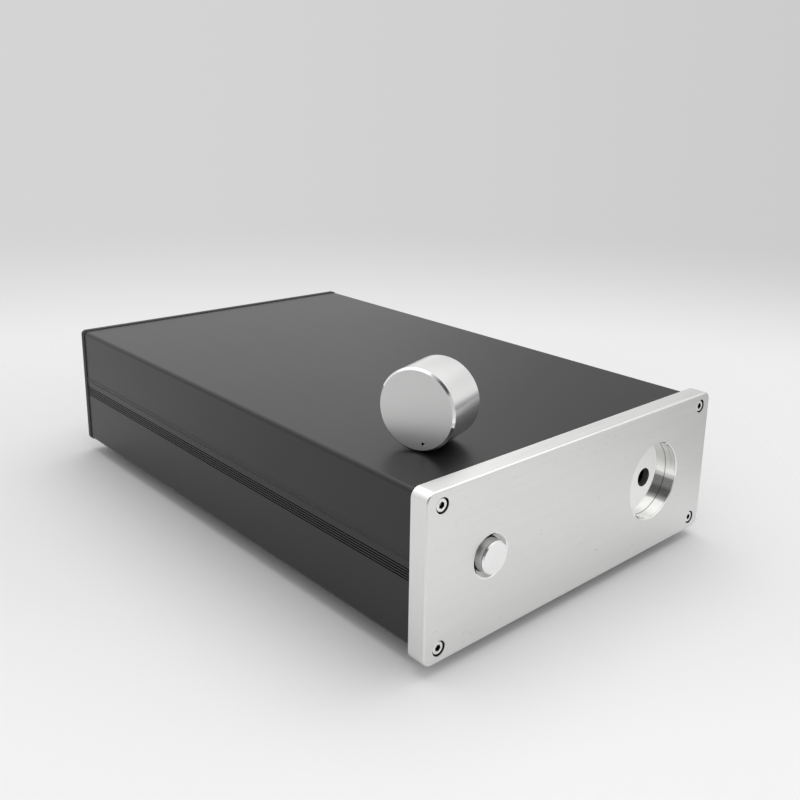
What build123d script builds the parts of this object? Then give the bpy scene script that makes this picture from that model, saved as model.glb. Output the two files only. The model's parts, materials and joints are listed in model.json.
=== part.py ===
from build123d import *
import os
from math import cos, isclose, radians, sin

# Amplifier chassis: a thick milled front panel on a two-part extruded case.
# Millimetres. X runs along the front, Y from the front to the rear, Z up.
# The origin is on the table, under the middle of the overall length and width.

os.makedirs("parts", exist_ok=True)

# Case
shell_length = 285.0
shell_width = 178.5
shell_height = 65.0
plate_wall = 2.4
side_wall = 3.0
shell_edge_radius = 2.0
shell_inner_radius = 1.0
rear_panel_thickness = 3.0
rear_panel_past_case = 0.5
rear_edge_break = 0.2

# Seam between the two half shells, with grooves below it and two beads above it
seam_below_top = 32.7
seam_gap = 0.5
tongue_height = 4.0
tongue_thickness = 1.2
tongue_clearance = 0.2
groove_count = 4
groove_pitch = 1.13
groove_width = 0.55
groove_depth = 0.6
bead_count = 2
bead_pitch = 1.8
bead_rise = 3.4
bead_width = 1.1
bead_height = 0.35

# Screw ports in the corners of the shells
port_from_side = 4.25
port_from_lid = 3.5
port_radius = 2.9
port_slot_width = 1.4

# Card slots along the side walls
card_slot_height = 9.0
card_slot_gap = 2.0
card_rib_thickness = 1.4
card_rib_depth = 3.0

# Front panel
panel_past_sides = 3.25
panel_past_lid = 2.5
panel_thickness = 9.0
panel_corner_radius = 4.0
panel_front_rounding = 0.8
panel_back_break = 0.2

# Knob recess and shaft hole
recess_from_right = 42.0
recess_radius = 18.0
recess_depth = 5.8
recess_rim_break = 0.4
recess_step_radius = 18.3
recess_step_depth = 2.9
shaft_hole_radius = 4.5

# Push button
button_from_left = 34.0
button_radius = 7.0
button_hole_radius = 7.3
button_hole_countersink = 2.0
button_stand_out = 2.5
button_travel = 2.5
button_head_length = 8.0
button_edge_break = 0.6
button_hub_radius = 4.0
button_hub_length = 5.0

# Metric screws, 3 mm
thread_radius = 1.45
thread_clearance = 0.05
clearance_hole_radius = 1.7
cap_head_radius = 2.75
cap_head_height = 3.0
cap_head_break = 0.3
cap_socket_across = 2.5
cap_socket_depth = 1.5
head_sunk = 0.4
counterbore_radius = 3.2
front_screw_length = 14.0
rear_screw_length = 10.0
dome_head_radius = 2.7
dome_head_height = 1.7
dome_head_rounding = 1.1
dome_socket_across = 2.0
dome_socket_depth = 1.1
pan_head_radius = 2.7
pan_head_height = 1.8
pan_head_break = 0.5
pan_slot_width = 0.8
pan_slot_depth = 0.9
short_screw_length = 6.0
switch_screw_length = 4.0
nut_across = 5.5
nut_thickness = 2.4

# Power switch on its bracket
bracket_stand_off = 10.0
bracket_sheet = 1.2
bracket_height = 14.0
bracket_bend_radius = 0.6
bracket_flange = 8.0
bracket_screw_spacing = 42.0
bracket_tap_depth = 6.0
switch_screw_spacing = 20.0
switch_frame_thickness = 1.2
switch_frame_width = 27.0
switch_body_width = 16.0
switch_body_height = 12.5
switch_body_length = 22.0
switch_body_break = 0.5
spring_window_radius = 4.6
plunger_side = 3.6
plunger_clearance = 0.05
plunger_in_cap = 5.0
plunger_in_body = 4.0
plunger_end_room = 0.5
plunger_collar_radius = 3.9
plunger_collar_thickness = 1.2
spring_radius = 3.2
spring_wire_radius = 0.35
spring_turn_count = 5
terminal_column_count = 2
terminal_row_count = 2
terminal_column_spacing = 9.0
terminal_row_spacing = 5.0
terminal_width = 2.4
terminal_thickness = 0.8
terminal_length = 6.0
terminal_hole_radius = 0.7

# Feet
foot_height = 7.5
foot_top_radius = 10.0
foot_bottom_radius = 9.0
foot_edge_radius = 1.0
foot_pocket_radius = 4.2
foot_pocket_depth = 4.0
foot_screw_past_nut = 1.0
foot_from_side = 18.0
foot_from_end = 24.0

# Knob, taken off and standing on its rim on the lid
knob_radius = 17.4
knob_length = 22.0
knob_face_break = 0.9
knob_back_break = 0.4
knob_skirt_wall = 3.0
knob_hollow_depth = 12.0
knob_hub_radius = 6.5
knob_hub_sunk = 1.0
knob_shaft_radius = 3.0
knob_shaft_depth = 14.0
knob_dot_radius = 0.75
knob_dot_depth = 0.8
knob_dot_from_edge = 3.4
knob_dot_angle = -75.0
knob_facing = 198.0
knob_from_left = 28.0
knob_behind_front = 38.0
grub_length = 4.0
grub_from_back = 6.0
grub_angle = 195.0
grub_socket_across = 1.5
grub_socket_depth = 1.5

# Places worked out from the sizes above
panel_width = shell_width + panel_past_sides * 2
panel_height = shell_height + panel_past_lid * 2
port_spacing_x = shell_width - port_from_side * 2
port_spacing_z = shell_height - port_from_lid * 2
shell_bottom = foot_height
shell_top = shell_bottom + shell_height
mid_height = shell_bottom + shell_height / 2
seam_height = shell_top - seam_below_top
case_length = panel_thickness + shell_length + rear_panel_thickness
overall_length = button_stand_out + case_length + dome_head_height
panel_front = button_stand_out - overall_length / 2
panel_back = panel_front + panel_thickness
shell_front = panel_back
shell_rear = shell_front + shell_length
rear_face = shell_rear + rear_panel_thickness
inner_side = shell_width / 2 - side_wall
bead_radius = (bead_width ** 2 / 4 + bead_height ** 2) / (bead_height * 2)
button_x = button_from_left - panel_width / 2
recess_x = panel_width / 2 - recess_from_right
bracket_web = panel_back + bracket_stand_off - bracket_sheet
switch_front = bracket_web + bracket_sheet
body_front = switch_front + switch_frame_thickness
head_floor = panel_front + head_sunk + cap_head_height
button_back = panel_front - button_stand_out + button_head_length + button_hub_length


def upright(depth):
    """Plane facing the front at a depth: X to the right, Z up."""
    return Plane.XZ.offset(-depth)


def edges_of_radius(solid, radius):
    """Round edges of one radius, from the front to the rear."""
    rounds = solid.edges().filter_by(GeomType.CIRCLE)
    return rounds.filter_by(lambda edge: isclose(edge.radius, radius, abs_tol=0.001)).sort_by(Axis.Y)


def save(solid, name):
    solid.label = name
    export_step(solid, "parts/" + name + ".step")


def foot_place(hand, end):
    """Middle of one foot: hand -1 is left, end -1 is the front."""
    return (
        hand * (shell_width / 2 - foot_from_side),
        shell_front + shell_length / 2 + end * (shell_length / 2 - foot_from_end),
    )


foot_places = {
    "foot_front_left": foot_place(-1, -1),
    "foot_front_right": foot_place(1, -1),
    "foot_rear_left": foot_place(-1, 1),
    "foot_rear_right": foot_place(1, 1),
}


# Front panel: the plate, its edges, then the holes from the front and from behind
with BuildPart() as front_panel:
    with BuildSketch(upright(panel_front)):
        with Locations((0, mid_height)):
            RectangleRounded(panel_width, panel_height, panel_corner_radius)
    extrude(amount=-panel_thickness)
    fillet(front_panel.faces().sort_by(Axis.Y)[0].edges(), panel_front_rounding)
    chamfer(front_panel.faces().sort_by(Axis.Y)[-1].edges(), panel_back_break)
    with BuildSketch(upright(panel_front)):
        with Locations((recess_x, mid_height)):
            Circle(recess_radius)
    extrude(amount=-recess_depth, mode=Mode.SUBTRACT)
    with BuildSketch(upright(panel_front)):
        with Locations((recess_x, mid_height)):
            Circle(recess_step_radius)
    extrude(amount=-recess_step_depth, mode=Mode.SUBTRACT)
    chamfer(edges_of_radius(front_panel, recess_step_radius)[0], recess_rim_break)
    with BuildSketch(upright(panel_front)):
        with Locations((recess_x, mid_height)):
            Circle(shaft_hole_radius)
        with Locations((button_x, mid_height)):
            Circle(button_hole_radius)
    extrude(amount=-panel_thickness, mode=Mode.SUBTRACT)
    chamfer(edges_of_radius(front_panel, button_hole_radius)[0], button_hole_countersink)
    with Locations(upright(panel_front)):
        with Locations((0, mid_height)):
            with GridLocations(port_spacing_x, port_spacing_z, 2, 2):
                CounterBoreHole(
                    clearance_hole_radius, counterbore_radius, head_sunk + cap_head_height, panel_thickness
                )
    with BuildSketch(upright(panel_back)):
        with Locations((button_x, mid_height)):
            with GridLocations(bracket_screw_spacing, 0, 2, 1):
                Circle(thread_radius + thread_clearance)
    extrude(amount=bracket_tap_depth, mode=Mode.SUBTRACT)
save(front_panel.part, "front_panel")


def cut_screw_ports(side):
    """Screw ports in the corners of one half shell: -1 is the lower half, 1 the upper half."""
    for hand in (-1, 1):
        port = (hand * port_spacing_x / 2, mid_height + side * port_spacing_z / 2)
        with Locations(port):
            Circle(port_radius)
    for hand in (-1, 1):
        port = (hand * port_spacing_x / 2, mid_height + side * port_spacing_z / 2)
        with Locations(port):
            Circle(thread_radius + thread_clearance, mode=Mode.SUBTRACT)
        with Locations(Location((*port, 0), (0, 0, hand * (90 + side * 45)))):
            Rectangle(
                port_slot_width,
                port_radius * 1.5,
                align=(Align.CENTER, Align.MIN),
                mode=Mode.SUBTRACT,
            )


def add_card_slots(side):
    """Two ribs along each side wall, with a gap for the edge of a circuit board."""
    slot_middle = mid_height + side * (shell_height / 2 - plate_wall - card_slot_height)
    rib_step = card_slot_gap + card_rib_thickness
    for hand in (-1, 1):
        rib_middle = hand * (inner_side - card_rib_depth / 2)
        with Locations((rib_middle, slot_middle - rib_step / 2), (rib_middle, slot_middle + rib_step / 2)):
            Rectangle(card_rib_depth, card_rib_thickness)


def cut_grooves():
    """Grooves below the seam, along the outside of both side walls."""
    for hand in (-1, 1):
        for line in range(groove_count):
            height = seam_height - groove_pitch * (line + 1)
            with Locations((hand * (shell_width / 2 - groove_depth / 2), height)):
                Rectangle(groove_depth, groove_width, mode=Mode.SUBTRACT)


def add_beads():
    """Low round beads above the seam, along the outside of both side walls."""
    for hand in (-1, 1):
        for line in range(bead_count):
            height = seam_height + bead_rise + bead_pitch * line
            with Locations((hand * (shell_width / 2 + bead_height - bead_radius), height)):
                Circle(bead_radius)


# Bottom shell: floor, lower half of the sides with a tongue on top, grooves, screw ports
with BuildPart() as bottom_shell:
    with BuildSketch(upright(shell_front)):
        with Locations((0, mid_height)):
            RectangleRounded(shell_width, shell_height, shell_edge_radius)
            RectangleRounded(
                inner_side * 2, shell_height - plate_wall * 2, shell_inner_radius, mode=Mode.SUBTRACT
            )
        with Locations((0, seam_height - seam_gap / 2)):
            Rectangle(
                shell_width, shell_height, align=(Align.CENTER, Align.MIN), mode=Mode.SUBTRACT
            )
        for hand in (-1, 1):
            with Locations((hand * (inner_side + tongue_thickness / 2), seam_height - seam_gap / 2)):
                Rectangle(
                    tongue_thickness, tongue_height + seam_gap / 2, align=(Align.CENTER, Align.MIN)
                )
        add_card_slots(-1)
        cut_screw_ports(-1)
        cut_grooves()
    extrude(amount=-shell_length)
    with BuildSketch(Plane.XY.offset(shell_bottom)):
        with Locations(*foot_places.values()):
            Circle(clearance_hole_radius)
    extrude(amount=plate_wall, mode=Mode.SUBTRACT)
save(bottom_shell.part, "bottom_shell")

# Top shell: lid and upper half of the sides, rebated inside for the tongue
with BuildPart() as top_shell:
    with BuildSketch(upright(shell_front)):
        with Locations((0, mid_height)):
            RectangleRounded(shell_width, shell_height, shell_edge_radius)
            RectangleRounded(
                inner_side * 2, shell_height - plate_wall * 2, shell_inner_radius, mode=Mode.SUBTRACT
            )
        with Locations((0, seam_height + seam_gap / 2)):
            Rectangle(
                shell_width, shell_height, align=(Align.CENTER, Align.MAX), mode=Mode.SUBTRACT
            )
        for hand in (-1, 1):
            rebate = tongue_thickness + tongue_clearance
            with Locations((hand * (inner_side + rebate / 2), seam_height)):
                Rectangle(
                    rebate,
                    tongue_height + tongue_clearance,
                    align=(Align.CENTER, Align.MIN),
                    mode=Mode.SUBTRACT,
                )
        add_card_slots(1)
        cut_screw_ports(1)
        add_beads()
    extrude(amount=-shell_length)
save(top_shell.part, "top_shell")

# Rear panel: a plain plate, a little larger than the case all round
with BuildPart() as rear_panel:
    with BuildSketch(upright(shell_rear)):
        with Locations((0, mid_height)):
            RectangleRounded(
                shell_width + rear_panel_past_case * 2,
                shell_height + rear_panel_past_case * 2,
                shell_edge_radius + rear_panel_past_case,
            )
    extrude(amount=-rear_panel_thickness)
    chamfer(rear_panel.faces().sort_by(Axis.Y)[-1].edges(), rear_edge_break)
    with BuildSketch(upright(shell_rear)):
        with Locations((0, mid_height)):
            with GridLocations(port_spacing_x, port_spacing_z, 2, 2):
                Circle(clearance_hole_radius)
    extrude(amount=-rear_panel_thickness, mode=Mode.SUBTRACT)
save(rear_panel.part, "rear_panel")

# Front screws: socket cap heads sunk in the counterbores, shanks in the screw ports
with BuildPart() as front_panel_screws:
    with BuildSketch(upright(panel_front + head_sunk)):
        with Locations((0, mid_height)):
            with GridLocations(port_spacing_x, port_spacing_z, 2, 2):
                Circle(cap_head_radius)
    extrude(amount=-cap_head_height)
    chamfer(edges_of_radius(front_panel_screws, cap_head_radius)[:4], cap_head_break)
    with BuildSketch(upright(panel_front + head_sunk)):
        with Locations((0, mid_height)):
            with GridLocations(port_spacing_x, port_spacing_z, 2, 2):
                RegularPolygon(cap_socket_across / 2, 6, major_radius=False)
    extrude(amount=-cap_socket_depth, mode=Mode.SUBTRACT)
    with BuildSketch(upright(head_floor)):
        with Locations((0, mid_height)):
            with GridLocations(port_spacing_x, port_spacing_z, 2, 2):
                Circle(thread_radius)
    extrude(amount=-front_screw_length)
save(front_panel_screws.part, "front_panel_screws")

# Rear screws: domed heads on the rear panel, shanks in the screw ports
with BuildPart() as rear_panel_screws:
    with BuildSketch(upright(rear_face)):
        with Locations((0, mid_height)):
            with GridLocations(port_spacing_x, port_spacing_z, 2, 2):
                Circle(dome_head_radius)
    extrude(amount=-dome_head_height)
    fillet(edges_of_radius(rear_panel_screws, dome_head_radius)[-4:], dome_head_rounding)
    with BuildSketch(upright(rear_face + dome_head_height)):
        with Locations((0, mid_height)):
            with GridLocations(port_spacing_x, port_spacing_z, 2, 2):
                RegularPolygon(dome_socket_across / 2, 6, major_radius=False)
    extrude(amount=dome_socket_depth, mode=Mode.SUBTRACT)
    with BuildSketch(upright(rear_face)):
        with Locations((0, mid_height)):
            with GridLocations(port_spacing_x, port_spacing_z, 2, 2):
                Circle(thread_radius)
    extrude(amount=rear_screw_length)
save(rear_panel_screws.part, "rear_panel_screws")

# Feet: turned rubber, with a pocket for the screw head
for foot_name, (foot_x, foot_y) in foot_places.items():
    with BuildPart() as foot:
        with BuildSketch(Plane(origin=(foot_x, foot_y, 0), x_dir=(1, 0, 0), z_dir=(0, -1, 0))):
            with BuildLine():
                Polyline(
                    (clearance_hole_radius, foot_pocket_depth),
                    (foot_pocket_radius, foot_pocket_depth),
                    (foot_pocket_radius, 0),
                    (foot_bottom_radius, 0),
                    (foot_top_radius, foot_height),
                    (clearance_hole_radius, foot_height),
                    close=True,
                )
            make_face()
        revolve(axis=Axis((foot_x, foot_y, 0), (0, 0, 1)))
        floor_rims = foot.edges().filter_by(GeomType.CIRCLE).group_by(Axis.Z)[0]
        fillet(floor_rims.sort_by(SortBy.RADIUS)[-1], foot_edge_radius)
    save(foot.part, foot_name)

# Foot screws: pan heads up in the pockets, with nuts on the floor plate
foot_screw_grip = foot_height - foot_pocket_depth + plate_wall
foot_screw_length = foot_screw_grip + nut_thickness + foot_screw_past_nut
with BuildPart() as foot_screws:
    with BuildSketch(Plane.XY.offset(foot_pocket_depth - pan_head_height)):
        with Locations(*foot_places.values()):
            Circle(pan_head_radius)
    extrude(amount=pan_head_height)
    fillet(foot_screws.edges().group_by(Axis.Z)[0], pan_head_break)
    with BuildSketch(Plane.XY.offset(foot_pocket_depth - pan_head_height)):
        with Locations(*foot_places.values()):
            Rectangle(pan_head_radius * 2, pan_slot_width)
            Rectangle(pan_slot_width, pan_head_radius * 2)
    extrude(amount=pan_slot_depth, mode=Mode.SUBTRACT)
    with BuildSketch(Plane.XY.offset(foot_pocket_depth)):
        with Locations(*foot_places.values()):
            Circle(thread_radius)
    extrude(amount=foot_screw_length)
save(foot_screws.part, "foot_screws")

with BuildPart() as foot_nuts:
    with BuildSketch(Plane.XY.offset(shell_bottom + plate_wall)):
        with Locations(*foot_places.values()):
            RegularPolygon(nut_across / 2, 6, major_radius=False)
            Circle(thread_radius + thread_clearance, mode=Mode.SUBTRACT)
    extrude(amount=nut_thickness)
save(foot_nuts.part, "foot_nuts")

# Button cap: a turned head in the panel's hole, with a square socket in its hub
with BuildPart() as button_cap:
    with BuildSketch(upright(panel_front - button_stand_out)):
        with Locations((button_x, mid_height)):
            Circle(button_radius)
    extrude(amount=-button_head_length)
    chamfer(edges_of_radius(button_cap, button_radius)[0], button_edge_break)
    with BuildSketch(upright(panel_front - button_stand_out + button_head_length)):
        with Locations((button_x, mid_height)):
            Circle(button_hub_radius)
    extrude(amount=-button_hub_length)
    with BuildSketch(upright(button_back)):
        with Locations((button_x, mid_height)):
            Rectangle(plunger_side + plunger_clearance * 2, plunger_side + plunger_clearance * 2)
    extrude(amount=plunger_in_cap, mode=Mode.SUBTRACT)
save(button_cap.part, "button_cap")

# Switch plunger: a square rod from the cap into the switch, with a collar for the spring
plunger_front = button_back - plunger_in_cap
plunger_length = body_front + plunger_in_body - plunger_front
with BuildPart() as switch_plunger:
    with BuildSketch(upright(plunger_front)):
        with Locations((button_x, mid_height)):
            Rectangle(plunger_side, plunger_side)
    extrude(amount=-plunger_length)
    with BuildSketch(upright(button_back)):
        with Locations((button_x, mid_height)):
            Circle(plunger_collar_radius)
    extrude(amount=-plunger_collar_thickness)
save(switch_plunger.part, "switch_plunger")

# Return spring, between the plunger's collar and the switch housing
spring_front = button_back + plunger_collar_thickness
spring_length = body_front - spring_front
spring_pitch = (spring_length - spring_wire_radius * 2) / spring_turn_count
with BuildPart() as plunger_spring:
    with BuildLine():
        coil = Helix(
            spring_pitch,
            spring_pitch * spring_turn_count,
            spring_radius,
            center=(button_x, spring_front + spring_wire_radius, mid_height),
            direction=(0, 1, 0),
        )
    with BuildSketch(Plane(origin=coil @ 0, z_dir=coil % 0)):
        Circle(spring_wire_radius)
    sweep(is_frenet=True)
save(plunger_spring.part, "plunger_spring")

# Switch bracket: a folded steel hat on the back of the front panel
web_half = bracket_screw_spacing / 2 - bracket_flange / 2
with BuildPart() as switch_bracket:
    with BuildSketch(Plane.XY.offset(mid_height - bracket_height / 2)):
        with Locations((button_x, panel_back)):
            Rectangle(
                web_half * 2 + bracket_flange * 2, bracket_sheet, align=(Align.CENTER, Align.MIN)
            )
            Rectangle(web_half * 2, bracket_stand_off, align=(Align.CENTER, Align.MIN))
            Rectangle(
                (web_half - bracket_sheet) * 2,
                bracket_stand_off - bracket_sheet,
                align=(Align.CENTER, Align.MIN),
                mode=Mode.SUBTRACT,
            )
    extrude(amount=bracket_height)
    outer_bends = switch_bracket.edges().filter_by(Axis.Z).group_by(Axis.Y)[-1]
    fillet(outer_bends, bracket_bend_radius + bracket_sheet / 2)
    with BuildSketch(upright(panel_back)):
        with Locations((button_x, mid_height)):
            with GridLocations(bracket_screw_spacing, 0, 2, 1):
                Circle(clearance_hole_radius)
    extrude(amount=-bracket_sheet, mode=Mode.SUBTRACT)
    with BuildSketch(upright(bracket_web)):
        with Locations((button_x, mid_height)):
            Circle(spring_window_radius)
            with GridLocations(switch_screw_spacing, 0, 2, 1):
                Circle(clearance_hole_radius)
    extrude(amount=-bracket_sheet, mode=Mode.SUBTRACT)
save(switch_bracket.part, "switch_bracket")

# Bracket screws: heads on the flanges, shanks forward into the panel's blind holes
bracket_flange_back = panel_back + bracket_sheet
with BuildPart() as bracket_screws:
    with BuildSketch(upright(bracket_flange_back)):
        with Locations((button_x, mid_height)):
            with GridLocations(bracket_screw_spacing, 0, 2, 1):
                Circle(pan_head_radius)
    extrude(amount=-pan_head_height)
    fillet(edges_of_radius(bracket_screws, pan_head_radius)[-2:], pan_head_break)
    with BuildSketch(upright(bracket_flange_back + pan_head_height)):
        with Locations((button_x, mid_height)):
            with GridLocations(bracket_screw_spacing, 0, 2, 1):
                Rectangle(pan_head_radius * 2, pan_slot_width)
    extrude(amount=pan_slot_depth, mode=Mode.SUBTRACT)
    with BuildSketch(upright(bracket_flange_back)):
        with Locations((button_x, mid_height)):
            with GridLocations(bracket_screw_spacing, 0, 2, 1):
                Circle(thread_radius)
    extrude(amount=short_screw_length)
save(bracket_screws.part, "bracket_screws")

# Switch frame: the mounting plate against the back of the bracket's web
with BuildPart() as switch_frame:
    with BuildSketch(upright(switch_front)):
        with Locations((button_x, mid_height)):
            Rectangle(switch_frame_width, bracket_height)
            Circle(spring_window_radius, mode=Mode.SUBTRACT)
            with GridLocations(switch_screw_spacing, 0, 2, 1):
                Circle(thread_radius + thread_clearance, mode=Mode.SUBTRACT)
    extrude(amount=-switch_frame_thickness)
save(switch_frame.part, "switch_frame")

# Switch screws: heads on the front of the web, shanks back into the frame's threads
with BuildPart() as switch_screws:
    with BuildSketch(upright(bracket_web)):
        with Locations((button_x, mid_height)):
            with GridLocations(switch_screw_spacing, 0, 2, 1):
                Circle(pan_head_radius)
    extrude(amount=pan_head_height)
    fillet(edges_of_radius(switch_screws, pan_head_radius)[:2], pan_head_break)
    with BuildSketch(upright(bracket_web - pan_head_height)):
        with Locations((button_x, mid_height)):
            with GridLocations(switch_screw_spacing, 0, 2, 1):
                Rectangle(pan_head_radius * 2, pan_slot_width)
    extrude(amount=-pan_slot_depth, mode=Mode.SUBTRACT)
    with BuildSketch(upright(bracket_web)):
        with Locations((button_x, mid_height)):
            with GridLocations(switch_screw_spacing, 0, 2, 1):
                Circle(thread_radius)
    extrude(amount=-switch_screw_length)
save(switch_screws.part, "switch_screws")

# Switch housing, open at the front for the plunger
with BuildPart() as switch_body:
    with BuildSketch(upright(body_front)):
        with Locations((button_x, mid_height)):
            Rectangle(switch_body_width, switch_body_height)
    extrude(amount=-switch_body_length)
    chamfer(switch_body.faces().sort_by(Axis.Y)[-1].edges(), switch_body_break)
    with BuildSketch(upright(body_front)):
        with Locations((button_x, mid_height)):
            Rectangle(plunger_side + plunger_clearance * 2, plunger_side + plunger_clearance * 2)
    extrude(amount=-(plunger_in_body + button_travel + plunger_end_room), mode=Mode.SUBTRACT)
save(switch_body.part, "switch_body")

# Solder tabs behind the switch housing
body_back = body_front + switch_body_length
with BuildPart() as switch_terminals:
    with BuildSketch(upright(body_back)):
        with Locations((button_x, mid_height)):
            with GridLocations(
                terminal_column_spacing, terminal_row_spacing, terminal_column_count, terminal_row_count
            ):
                Rectangle(terminal_width, terminal_thickness)
    extrude(amount=-terminal_length)
    with BuildSketch(Plane.XY.offset(mid_height)):
        with Locations((button_x, body_back + terminal_length - terminal_width / 2)):
            with GridLocations(terminal_column_spacing, 0, terminal_column_count, 1):
                Circle(terminal_hole_radius)
    extrude(amount=switch_body_height, both=True, mode=Mode.SUBTRACT)
save(switch_terminals.part, "switch_terminals")

# Knob: local X is the viewer's right, local Y is up, local Z leaves the face
facing = (cos(radians(knob_facing)), sin(radians(knob_facing)), 0)
knob_face = Plane(
    origin=(knob_from_left - panel_width / 2, panel_front + knob_behind_front, shell_top + knob_radius),
    x_dir=(-facing[1], facing[0], 0),
    z_dir=facing,
)
with BuildPart() as knob:
    with BuildSketch(knob_face):
        Circle(knob_radius)
    extrude(amount=-knob_length)
    knob_rims = knob.edges().filter_by(GeomType.CIRCLE).sort_by(Axis(knob_face.origin, facing))
    chamfer(knob_rims[-1], knob_face_break)
    chamfer(knob_rims[0], knob_back_break)
    with BuildSketch(knob_face.offset(-knob_length)):
        Circle(knob_radius - knob_skirt_wall)
        Circle(knob_hub_radius, mode=Mode.SUBTRACT)
    extrude(amount=knob_hollow_depth, mode=Mode.SUBTRACT)
    with BuildSketch(knob_face.offset(-knob_length)):
        Circle(knob_hub_radius)
    extrude(amount=knob_hub_sunk, mode=Mode.SUBTRACT)
    with BuildSketch(knob_face.offset(-knob_length)):
        Circle(knob_shaft_radius)
    extrude(amount=knob_shaft_depth, mode=Mode.SUBTRACT)
    with BuildSketch(knob_face):
        with PolarLocations(knob_radius - knob_dot_from_edge, 1, start_angle=knob_dot_angle):
            Circle(knob_dot_radius)
    extrude(amount=-knob_dot_depth, mode=Mode.SUBTRACT)
    grub_middle = knob_face.offset(grub_from_back - knob_length)
    grub_way = grub_middle.from_local_coords(
        Vector(cos(radians(grub_angle)), sin(radians(grub_angle)), 0)
    ) - grub_middle.origin
    with BuildSketch(Plane(origin=grub_middle.origin, z_dir=grub_way)):
        Circle(thread_radius + thread_clearance)
    extrude(amount=knob_radius, mode=Mode.SUBTRACT)
save(knob.part, "knob")

# Set screw in the knob's hub, its inner end at the shaft bore
with BuildPart() as knob_grub_screw:
    with BuildSketch(Plane(origin=grub_middle.origin, z_dir=grub_way).offset(knob_shaft_radius)):
        Circle(thread_radius)
    extrude(amount=grub_length)
    with BuildSketch(
        Plane(origin=grub_middle.origin, z_dir=grub_way).offset(knob_shaft_radius + grub_length)
    ):
        RegularPolygon(grub_socket_across / 2, 6, major_radius=False)
    extrude(amount=-grub_socket_depth, mode=Mode.SUBTRACT)
save(knob_grub_screw.part, "knob_grub_screw")
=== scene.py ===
import json
from math import cos, floor, pi, radians, sin, sqrt

import bmesh
import bpy
from bpy.props import FloatProperty, FloatVectorProperty, IntProperty, PointerProperty
from mathutils import Matrix, Vector


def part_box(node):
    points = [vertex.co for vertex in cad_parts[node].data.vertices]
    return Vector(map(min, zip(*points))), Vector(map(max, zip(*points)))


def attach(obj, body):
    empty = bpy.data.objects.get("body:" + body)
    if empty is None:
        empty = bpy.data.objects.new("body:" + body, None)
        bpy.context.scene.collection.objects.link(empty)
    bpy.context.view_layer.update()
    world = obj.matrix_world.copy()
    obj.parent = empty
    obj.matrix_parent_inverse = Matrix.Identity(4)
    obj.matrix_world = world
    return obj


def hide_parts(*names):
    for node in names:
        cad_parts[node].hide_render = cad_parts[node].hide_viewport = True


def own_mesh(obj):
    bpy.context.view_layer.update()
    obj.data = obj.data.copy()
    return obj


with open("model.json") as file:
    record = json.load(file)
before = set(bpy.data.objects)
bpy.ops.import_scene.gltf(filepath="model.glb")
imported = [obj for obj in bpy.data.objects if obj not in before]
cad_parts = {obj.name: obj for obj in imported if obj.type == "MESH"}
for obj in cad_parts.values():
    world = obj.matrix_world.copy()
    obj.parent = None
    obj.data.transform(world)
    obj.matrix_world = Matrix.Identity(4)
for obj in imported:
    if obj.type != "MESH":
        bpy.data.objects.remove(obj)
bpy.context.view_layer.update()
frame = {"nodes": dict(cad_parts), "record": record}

bl_info = {
    "name": "Amplifier Chassis",
    "version": (1, 0, 0),
    "blender": (4, 5, 0),
    "location": "3D View > Sidebar > Chassis",
    "description": "Finishes, fasteners and a studio for an extruded amplifier chassis",
    "category": "Object",
}

MM = 0.001
MICRON = 0.000001

# Directions of the model: from the front to the rear, and up
REARWARD = Vector((0, 1, 0))
UPWARD = Vector((0, 0, 1))


def record_entry(entries, name):
    """The entry of that name in a list of the part's record."""
    return next(entry for entry in entries if entry["name"] == name)


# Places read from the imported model, in metres
MOUNTS = frame["record"]["mounts"]
PANEL_LOW, PANEL_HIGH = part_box("front_panel")
PANEL_THICKNESS = PANEL_HIGH.y - PANEL_LOW.y
CAP_LOW, CAP_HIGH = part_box("button_cap")
BUTTON_MIDDLE = (CAP_LOW + CAP_HIGH) / 2
BUTTON_FACE = Vector((BUTTON_MIDDLE.x, CAP_LOW.y, BUTTON_MIDDLE.z))
BUTTON_TRAVEL = record_entry(frame["record"]["behaviour"]["joints"], "button_press")["range_m"][1]
RECESS_MIDDLE = Vector(record_entry(MOUNTS, "shaft_bore")["pos_m"])
SCREW_LOW, SCREW_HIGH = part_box("front_panel_screws")
SCREW_MIDDLE = (SCREW_LOW + SCREW_HIGH) / 2
HEAD_RADIUS = 2.75 * MM
SCREW_SPREAD = (
    (SCREW_HIGH.x - SCREW_LOW.x) / 2 - HEAD_RADIUS,
    (SCREW_HIGH.z - SCREW_LOW.z) / 2 - HEAD_RADIUS,
)

# The knob's axis runs from its face to its back, and its bore starts 12 mm behind the face
KNOB_LOW, KNOB_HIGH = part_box("knob")
KNOB_RADIUS = (KNOB_HIGH.z - KNOB_LOW.z) / 2
KNOB_BORE = record_entry(MOUNTS, "knob_bore")
KNOB_AXIS = Vector(KNOB_BORE["axis"])
KNOB_FACE = Vector(KNOB_BORE["pos_m"]) - KNOB_AXIS * 12.0 * MM
DOT_ANGLE = radians(-75)
DOT_FROM_AXIS = KNOB_RADIUS - 3.4 * MM
KNOB_SIDEWAYS = Vector((KNOB_AXIS.y, -KNOB_AXIS.x, 0))
DOT_DIRECTION = KNOB_SIDEWAYS * cos(DOT_ANGLE) + UPWARD * sin(DOT_ANGLE)
KNOB_DOT = KNOB_FACE + DOT_DIRECTION * DOT_FROM_AXIS

# Edges of the front panel's turned places, by radius
RECESS_EDGE = 18.65 * MM
RECESS_WALL = 17.925 * MM
RECESS_CORNER = 17.80 * MM
COUNTERSINK_EDGE = 9.5 * MM
SEAT_EDGE = 3.4 * MM

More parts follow.
